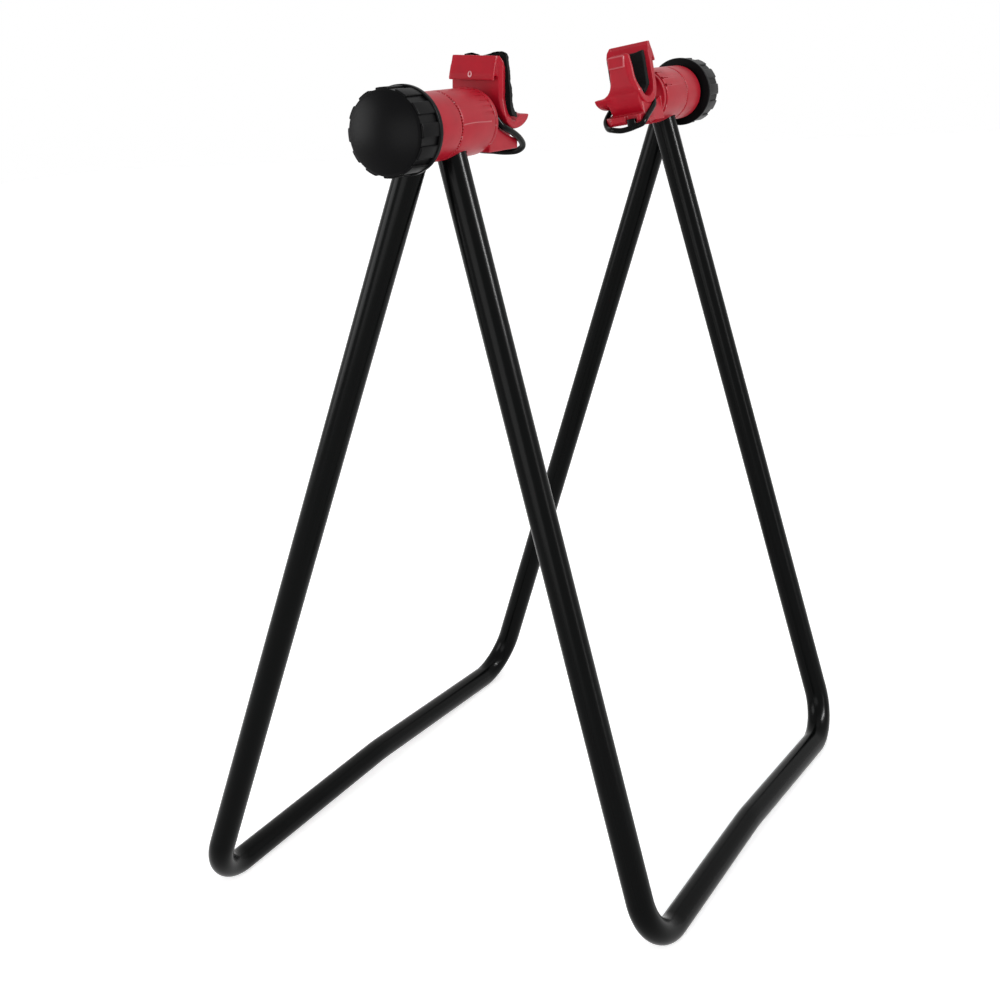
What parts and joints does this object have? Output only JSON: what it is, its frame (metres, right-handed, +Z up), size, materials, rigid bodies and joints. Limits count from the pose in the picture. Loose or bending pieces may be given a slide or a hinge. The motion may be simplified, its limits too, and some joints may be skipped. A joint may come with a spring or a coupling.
{
  "type": "folding bicycle stand",
  "caption": "Folding stand of two hinged U-shaped tube frames with clamp knobs and moulded hooks that hold a bicycle frame's stays so that the rear wheel is off the floor.",
  "frame": {"origin": "on the floor, midway between the two foot bars and midway between the two heads", "axes": "+X along the head axis towards the right head, +Y towards the foot bar of the wide frame, +Z up"},
  "size_m": [0.3578, 0.2694, 0.4412],
  "materials": {
    "black_painted_steel": "satin powder coat",
    "red_plastic": "satin moulded",
    "black_plastic": "fine moulded texture",
    "zinc_steel": "zinc plated",
    "foam_rubber": "rough",
    "black_rubber": "matt"
  },
  "bodies": {
    "wide_frame": {"wide_frame_tube": "black_painted_steel", "left_outer_collar": "red_plastic", "right_outer_collar": "red_plastic"},
    "narrow_frame": {"narrow_frame_tube": "black_painted_steel", "left_inner_collar": "red_plastic", "right_inner_collar": "red_plastic"},
    "left_hook_unit": {"left_hook": "red_plastic", "left_hook_nut": "zinc_steel", "left_stay_pad": "foam_rubber", "left_rubber_ring": "black_rubber"},
    "left_washer": {"left_knob_washer": "zinc_steel"},
    "left_knob": {"left_knob_grip": "black_plastic", "left_knob_cap": "black_plastic", "left_clamp_screw": "zinc_steel"},
    "right_hook_unit": {"right_hook": "red_plastic", "right_hook_nut": "zinc_steel", "right_stay_pad": "foam_rubber", "right_rubber_ring": "black_rubber"},
    "right_washer": {"right_knob_washer": "zinc_steel"},
    "right_knob": {"right_knob_grip": "black_plastic", "right_knob_cap": "black_plastic", "right_clamp_screw": "zinc_steel"}
  },
  "joints": [
    {"name": "fold", "type": "hinge", "parent": "wide_frame", "child": "narrow_frame", "pos_m": [0, -0.03714, 0.409], "axis": [1, 0, 0], "range_deg": [-10, 35]},
    {"name": "left_hook_turn", "type": "hinge", "parent": "narrow_frame", "child": "left_hook_unit", "pos_m": [-0.1, -0.03714, 0.409], "axis": [1, 0, 0], "continuous": true},
    {"name": "left_knob_travel", "type": "slide", "parent": "wide_frame", "child": "left_washer", "axis": [-1, 0, 0], "range_m": [0, 0.002]},
    {"name": "left_knob_turn", "type": "hinge", "parent": "left_washer", "child": "left_knob", "pos_m": [-0.16, -0.03714, 0.409], "axis": [-1, 0, 0], "range_deg": [0, 720]},
    {"name": "right_hook_turn", "type": "hinge", "parent": "narrow_frame", "child": "right_hook_unit", "pos_m": [0.1, -0.03714, 0.409], "axis": [1, 0, 0], "continuous": true},
    {"name": "right_knob_travel", "type": "slide", "parent": "wide_frame", "child": "right_washer", "axis": [1, 0, 0], "range_m": [0, 0.002]},
    {"name": "right_knob_turn", "type": "hinge", "parent": "right_washer", "child": "right_knob", "pos_m": [0.16, -0.03714, 0.409], "axis": [1, 0, 0], "range_deg": [0, 720]}
  ],
  "couplings": [
    {"joint": "left_knob_turn", "follows": "left_knob_travel", "rad_per_m": 6283.2},
    {"joint": "right_knob_turn", "follows": "right_knob_travel", "rad_per_m": 6283.2}
  ]
}
